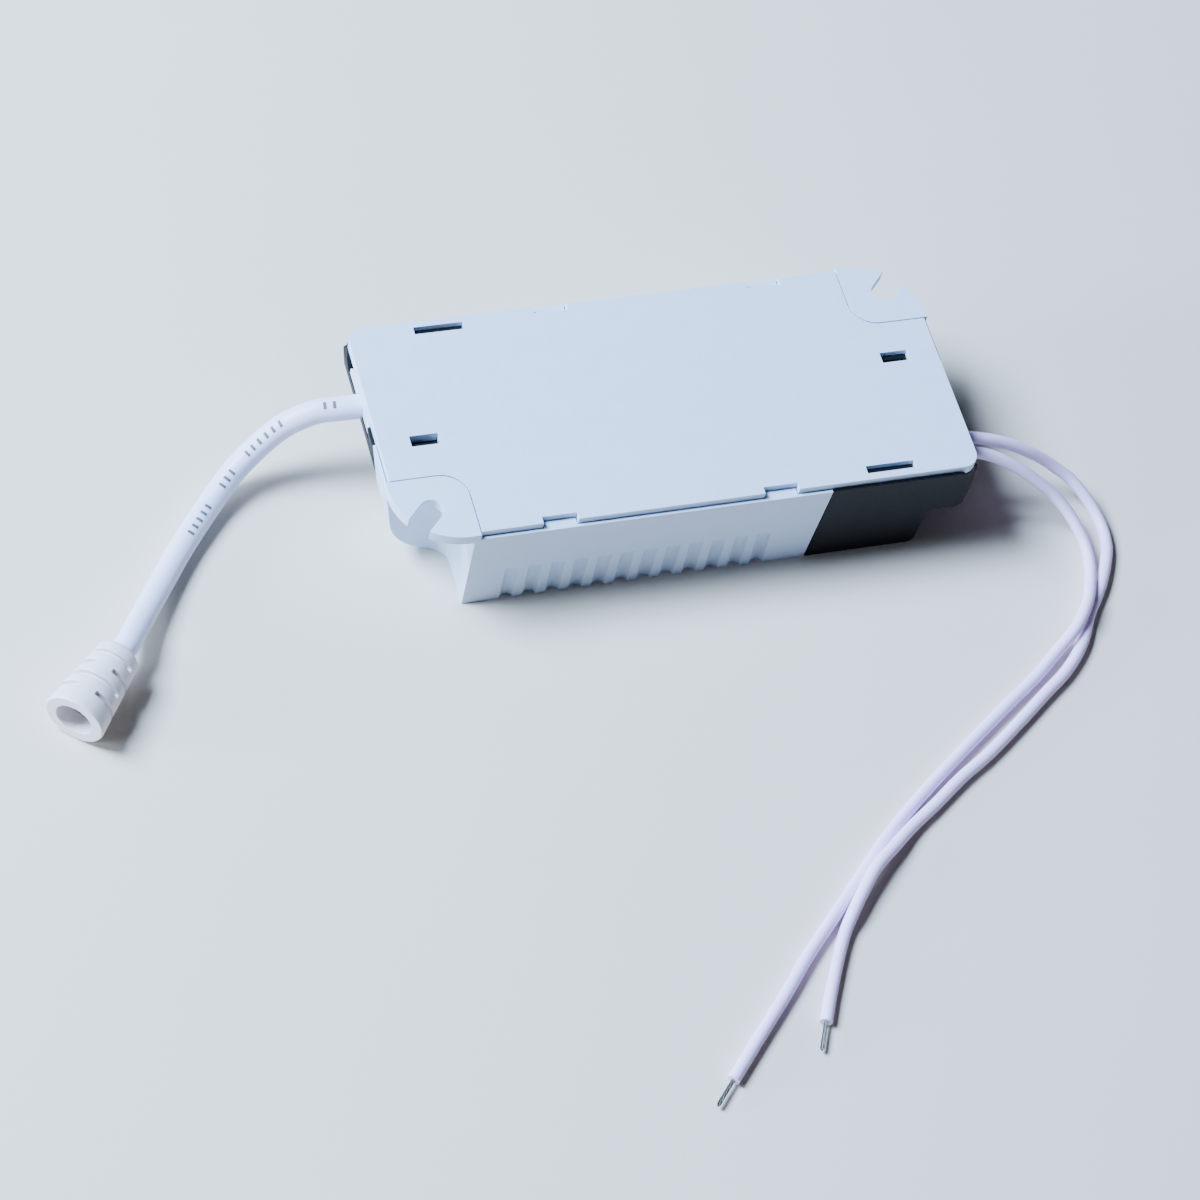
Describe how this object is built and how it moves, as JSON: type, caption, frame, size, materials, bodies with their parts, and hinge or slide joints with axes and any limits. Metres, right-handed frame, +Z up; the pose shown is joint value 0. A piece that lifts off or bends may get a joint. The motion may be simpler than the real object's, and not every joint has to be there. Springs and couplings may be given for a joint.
{
  "type": "led driver",
  "caption": "Enclosed LED driver with slotted mounting ears, a snap-in base plate, black wiring covers, an output cable with a connector and bare input leads.",
  "frame": {"origin": "centre of the case's box at its resting face", "axes": "+X along the length towards the input leads, +Z up through the base plate, +Y away from the side the input leads run to"},
  "size_m": [0.1865, 0.1423, 0.0196],
  "materials": {
    "white_plastic": "satin",
    "black_plastic": "matt",
    "cable_pvc": "satin",
    "board_laminate": "satin",
    "ferrite": "matt",
    "bobbin_plastic": "matt",
    "winding_tape": "satin",
    "copper_wire": "satin",
    "capacitor_sleeve": "satin",
    "film_box": "matt",
    "disc_lacquer": "satin",
    "resistor_lacquer": "satin",
    "chip_moulding": "matt",
    "chip_ceramic": "matt",
    "core_insulation": "satin",
    "tinned_metal": "satin"
  },
  "bodies": {
    "root": {"housing": "white_plastic", "base_plate": "white_plastic", "output_cover": "black_plastic", "input_cover": "black_plastic", "output_cable_clamp": "white_plastic", "input_lead_clamp": "white_plastic", "circuit_board": "board_laminate", "transformer_core_left": "ferrite", "transformer_core_right": "ferrite", "transformer_bobbin": "bobbin_plastic", "transformer_winding": "winding_tape", "mains_capacitor": "capacitor_sleeve", "output_capacitors": "capacitor_sleeve", "filter_choke_core": "ferrite", "filter_choke_winding": "copper_wire", "film_capacitor": "film_box", "disc_capacitor": "disc_lacquer", "varistor": "disc_lacquer", "fuse_resistor": "resistor_lacquer", "bridge_rectifier": "chip_moulding", "driver_chip": "chip_moulding", "output_diode": "chip_moulding", "chip_resistors": "chip_moulding", "chip_capacitors": "chip_ceramic", "output_cable_tail": "cable_pvc", "output_core_wires": "core_insulation", "live_lead_tail": "cable_pvc", "neutral_lead_tail": "cable_pvc", "output_cable": "cable_pvc", "connector_body": "white_plastic", "connector_sleeve": "tinned_metal", "connector_pin": "tinned_metal", "live_lead": "cable_pvc", "neutral_lead": "cable_pvc", "live_lead_tip": "tinned_metal", "neutral_lead_tip": "tinned_metal"}
  },
  "joints": []
}
